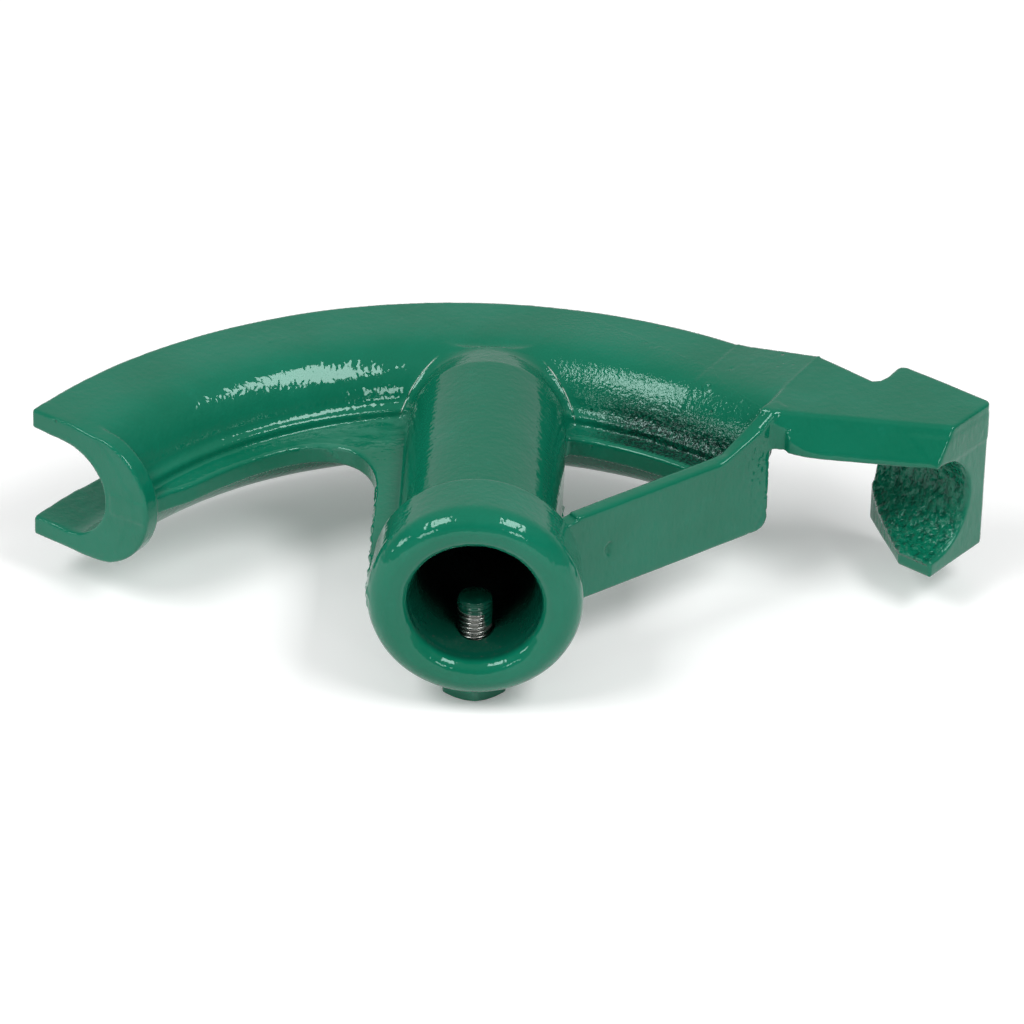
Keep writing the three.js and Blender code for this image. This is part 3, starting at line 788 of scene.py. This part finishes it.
enamel = {
    "color": (0.0036, 0.158, 0.091, 1), "deep": (0.0024, 0.134, 0.073, 1), "pale": (0.009, 0.186, 0.118, 1),
    "ironInShade": (0.006, 0.010, 0.009, 1), "shade": (0.0012, 0.060, 0.036, 1), "crinkleDark": (0.002, 0.022, 0.015, 1),
    "paintedSheen": (0.030, 0.180, 0.115, 1), "paintedHighlight": (0.44, 0.58, 0.50, 1), "pit": (0.002, 0.03, 0.018, 1),
    "ironSpot": (0.03, 0.05, 0.042, 1), "tint": (0.72, 1.0, 0.94, 1), "roughness": 0.045, "ior": 1.45,
    # scale, detail and roughness of each noise, then how it is stretched and shifted
    "broad": (28.0, 3.0, 0.55), "fine": (260.0, 3.0, 0.6), "grit": (900.0, 2.0, 0.5),
    "crinkleBlots": (1300.0, 2.0, 0.6),
    "pitPatches": (45.0, 1.0, 0.5, (1, 1, 1), (3, 1, 2)), "streaks": (420.0, 3.0, 0.6, (0.35, 1.0, 1.0)),
    "folds": (620.0, 2.0, 0.55, (1.0, 1.0, 0.6)), "wave": (330.0, 2.0, 0.5),
    "peel": (700.0, 1.0, 0.5, (1.0, 1.0, 0.45)), "grain": (1250.0, 2.0, 0.55), "pitScale": 310.0,
    # heights in m
    "waveHeight": 0.00007, "peelHeight": 0.0001, "grainHeight": 0.0001, "foldHeight": 0.00014,
    "edgeHeight": 0.0003,
    # where each layer of colour begins and is full, in values of its noise, and how much of it shows
    "thickFade": (0.35, 0.7), "paleFade": (0.55, 0.9), "paleShare": 0.35,
    "pitFade": (0.16, 0.05), "pitPatchFade": (0.62, 0.72), "pitShare": 0.7,
    "webSheenFade": (0.35, 0.62), "crinkleBlotFade": (0.62, 0.42), "crinkleDarkShares": (0.55, 0.45),
    "ironShadeFade": (0.45, 0.85), "ironSpotFade": (0.62, 0.74), "ironSpotShare": 0.6, "boreFade": (0.08, 0.40),
    "ridgeFade": (0.075, 0.02), "highlightFade": (0.36, 0.50),
    "foldShadeFade": (0.52, 0.36), "foldSheenFade": (0.58, 0.70), "foldShare": 0.7,
    # where the gloss dulls, and by how much
    "broadDullFade": (0.35, 0.75), "fineDullFade": (0.45, 0.8), "paintDull": 0.03,
    "boreDullFade": (0.2, 0.9), "boreDull": 0.3, "grooveDull": 0.12,
    # shares of the bumps
    "cupFolds": 7.0, "crinkleGrit": 3.0, "grooveGrit": 0.8, "pitDepth": 1.5, "webStreaks": 0.3,
    "wallPeel": 0.5, "wallGrain": 1.3, "leastGrain": 0.12,
}


def makeEnamel(s):
    g = Graph("green_enamel_on_casting")
    broad, fine, grit = [g.noise(*s[name]) for name in ("broad", "fine", "grit")]
    pebbles, crinkle, cup, groove, bore, web, fillet, filletPlace = [g.attribute(name) for name in (
        "pebbles", "crinkle", "cupWall", "grooveWall", "boreWall", "webGrain", "fillet", "filletPlace")]
    # colour: brushed thick and thin, pitted, light streaks of painted sheen on the web, darker in blotches
    # where the casting crinkles
    color = g.blend(g.fade(broad, *s["thickFade"]), s["deep"], s["color"])
    color = g.blend(g.fade(fine, *s["paleFade"]) * s["paleShare"], color, s["pale"])
    patches = g.fade(g.noise(*s["pitPatches"]), *s["pitPatchFade"])
    pits = g.fade(g.cells(s["pitScale"]), *s["pitFade"]) * patches
    color = g.blend(pits * s["pitShare"], color, s["pit"])
    streaks = g.noise(*s["streaks"])
    # the web's light streaks are a painted sheen
    color = g.blend(web * g.fade(streaks, *s["webSheenFade"]), color, s["paintedSheen"])
    # darker in blotches where the casting crinkles
    even, patchy = s["crinkleDarkShares"]
    crinkleDarkened = crinkle * (even + patchy * g.fade(g.noise(*s["crinkleBlots"]), *s["crinkleBlotFade"]))
    color = g.blend(crinkleDarkened, color, s["crinkleDark"])
    # inside the bore the colour darkens with depth as painted shade, from the enamel through dark green to
    # near black, the deep part also standing for bare metal
    inside = g.blend(g.fade(bore, *s["ironShadeFade"]), s["shade"], s["ironInShade"])
    inside = g.blend(g.fade(grit, *s["ironSpotFade"]) * s["ironSpotShare"], inside, s["ironSpot"])
    color = g.blend(g.fade(bore, *s["boreFade"]), color, inside)
    # painted highlight as a pale line along the ridge between socket and shoe, and painted shade and painted
    # highlights in the cup's folds
    ridge = g.node("Math", {"operation": "ABSOLUTE"}, {0: fillet - zones["filletShare"]})
    ridge = g.fade(ridge, *s["ridgeFade"]) * filletPlace
    color = g.blend(ridge * g.fade(fine, *s["highlightFade"]), color, s["paintedHighlight"])
    folds = g.noise(*s["folds"])
    # in the cup: painted shade in the hollows of the bumped folds, and pale painted highlights on their tops
    color = g.blend(cup * g.fade(folds, *s["foldShadeFade"]) * s["foldShare"], color, s["shade"])
    color = g.blend(cup * g.fade(folds, *s["foldSheenFade"]) * s["foldShare"], color, s["paintedSheen"])
    gloss = s["roughness"] + g.fade(broad, *s["broadDullFade"]) * s["paintDull"]
    gloss = gloss + g.fade(fine, *s["fineDullFade"]) * s["paintDull"]
    gloss = gloss + g.fade(bore, *s["boreDullFade"]) * s["boreDull"] + groove * s["grooveDull"]
    wave = g.bump(g.noise(*s["wave"]), s["waveHeight"])
    peel = g.bump(g.noise(*s["peel"]) * (1.0 - pebbles * s["wallPeel"]), s["peelHeight"], wave)
    grain = g.noise(*s["grain"]) * (pebbles * s["wallGrain"] + cup + s["leastGrain"])
    grain = g.bump(grain, s["grainHeight"], peel)
    gritty = grit * (crinkle * s["crinkleGrit"] + groove * s["grooveGrit"] + bore)
    folded = g.bump(folds * cup * s["cupFolds"] + gritty - pits * s["pitDepth"], s["foldHeight"], grain)
    edged = g.bump(ridge + streaks * web * s["webStreaks"], s["edgeHeight"], folded)
    return g.finish({
        "Base Color": color, "Roughness": gloss, "Normal": edged, "IOR": s["ior"],
        "Specular Tint": s["tint"]})


bender.data.materials.append(makeEnamel(enamel))

screwPaint = {
    "dark": (0.0015, 0.070, 0.042, 1), "light": (0.0020, 0.110, 0.066, 1), "steel": (0.36, 0.37, 0.35, 1),
    "grain": (300.0, 3.0, 0.6), "peel": (420.0, 2.0, 0.5), "peelHeight": 0.00006, "ior": 1.5,
    "middle": 0.5, "raggedEdge": 0.5, "bareFade": (0.4, 0.6), "thickFade": (0.4, 0.75),
    "roughness": 0.12, "grainRoughness": 0.1, "bareRoughness": 0.06,
}


def makeScrewFinish(s):
    g = Graph("painted_and_bare_steel")
    grain = g.noise(*s["grain"])
    bare = g.attribute("bareSteel") + (grain - s["middle"]) * s["raggedEdge"]
    bare = g.fade(bare, *s["bareFade"])
    # the tip's paint sits inside the bore and is darker than the head's enamel, as painted shade
    paint = g.blend(g.fade(grain, *s["thickFade"]), s["dark"], s["light"])
    paint = g.blend(g.attribute("onHead"), paint, enamel["color"])
    color = g.blend(bare, paint, s["steel"])
    rough = s["roughness"] + grain * s["grainRoughness"] + bare * s["bareRoughness"]
    peel = g.bump(g.noise(*s["peel"]), s["peelHeight"])
    return g.finish({
        "Base Color": color, "Metallic": bare, "Roughness": rough, "Normal": peel, "IOR": s["ior"]})


setScrew.data.materials.append(makeScrewFinish(screwPaint))
print("materials made")

# The studio: white floor, soft boxes around, dim surroundings that are white only to the camera
studio = {
    "floor": (0.86, 0.86, 0.86, 1), "floorReach": 4, "floorRoughness": 0.9, "lift": 0.20, "distance": 1.5,
    # how bright the surroundings are, by height and toward the back
    "heights": ((0.12, 0.30), (0.34, 0.10), (0.55, 0.20), (0.80, 0.42)), "behindFrom": 0.2, "behindTo": 0.75,
    "behind": 0.57, "white": (1, 1, 1, 1),
    # bearing, elevation, width, height, roll and radiance
    "boxes": {
        "right_soft_box": (53.0, 54.0, 0.78, 0.42, 32.0, 11.0),
        "left_soft_box": (-55.0, 52.0, 0.70, 0.44, -32.0, 10.3),
        "right_low_box": (23.0, 22.0, 0.22, 0.18, 0.0, 9.0),
        "left_low_box": (-33.0, 21.0, 0.25, 0.18, 0.0, 7.0),
        "left_side_box": (-72.0, 19.0, 0.28, 0.24, 0.0, 9.0),
    },
}


def makeBox(name, bearing, elevation, width, height, roll, radiance, distance):
    data = bpy.data.lights.new(name, "AREA")
    data.shape, data.size, data.size_y = "RECTANGLE", width, height
    data.energy = radiance * math.pi * width * height
    lamp = bpy.data.objects.new(name, data)
    t, b = math.radians(elevation), math.radians(bearing)
    toward = Vector((math.sin(b) * math.cos(t), -math.cos(b) * math.cos(t), math.sin(t)))
    lamp.location = toward * distance
    rolled = Matrix.Rotation(math.radians(roll), 3, "Z")
    lamp.rotation_euler = (toward.to_track_quat("Z", "Y").to_matrix() @ rolled).to_euler()
    bpy.context.scene.collection.objects.link(lamp)


def makeFloor(s):
    floorZ, reach = cadBox[0][2], s["floorReach"]
    mesh = bpy.data.meshes.new("studio_floor")
    around = [(x * reach, y * reach, floorZ) for x, y in ((-1, -1), (1, -1), (1, 1), (-1, 1))]
    mesh.from_pydata(around, [], [(0, 1, 2, 3)])
    floor = bpy.data.objects.new("studio_floor", mesh)
    bpy.context.scene.collection.objects.link(floor)
    g = Graph("studio_floor_paint")
    rays = ("Is Camera Ray", "Is Glossy Ray", "Is Transmission Ray")
    seen = [g.node("LightPath", {}, {}, out) for out in rays]
    mesh.materials.append(g.finish({
        "Base Color": s["floor"], "Roughness": s["floorRoughness"], "Specular IOR Level": 0.0,
        "Emission Color": (seen[0] + seen[1] + seen[2]) * s["lift"], "Emission Strength": 1.0}))


def makeAir(s):
    world = bpy.data.worlds.new("studio_air")
    world.use_nodes = True
    bpy.context.scene.world = world
    tree = world.node_tree
    tree.nodes.clear()
    kinds = (
        "TexCoord", "SeparateXYZ", "ValToRGB", "MapRange", "LightPath", "Background", "Background",
        "MixShader", "OutputWorld",
    )
    made = [tree.nodes.new("ShaderNode" + kind) for kind in kinds]
    place, parts, height, level, path, air, white, pick, out = made
    stops = height.color_ramp.elements
    for k, (where, bright) in enumerate(s["heights"]):
        stop = stops[k] if k < 2 else stops.new(where)
        stop.position, stop.color = where, (bright, bright, bright, 1)
    level.interpolation_type = "SMOOTHSTEP"
    for key, value in (("From Min", s["behindFrom"]), ("From Max", s["behindTo"]), ("To Max", s["behind"])):
        level.inputs[key].default_value = value
    for a, b in (
            (place.outputs["Generated"], parts.inputs[0]), (parts.outputs["Y"], level.inputs["Value"]),
            (parts.outputs["Z"], height.inputs[0]), (height.outputs[0], level.inputs["To Min"]),
            (level.outputs[0], air.inputs["Strength"]), (path.outputs["Is Camera Ray"], pick.inputs[0]),
            (air.outputs[0], pick.inputs[1]), (white.outputs[0], pick.inputs[2]),
            (pick.outputs[0], out.inputs[0])):
        tree.links.new(a, b)
    for ground in (air, white):
        ground.inputs["Color"].default_value = s["white"]


makeFloor(studio)
makeAir(studio)
for name, box in studio["boxes"].items():
    makeBox(name, *box, studio["distance"])
bpy.context.scene.view_settings.view_transform = "Standard"
print("studio lit")
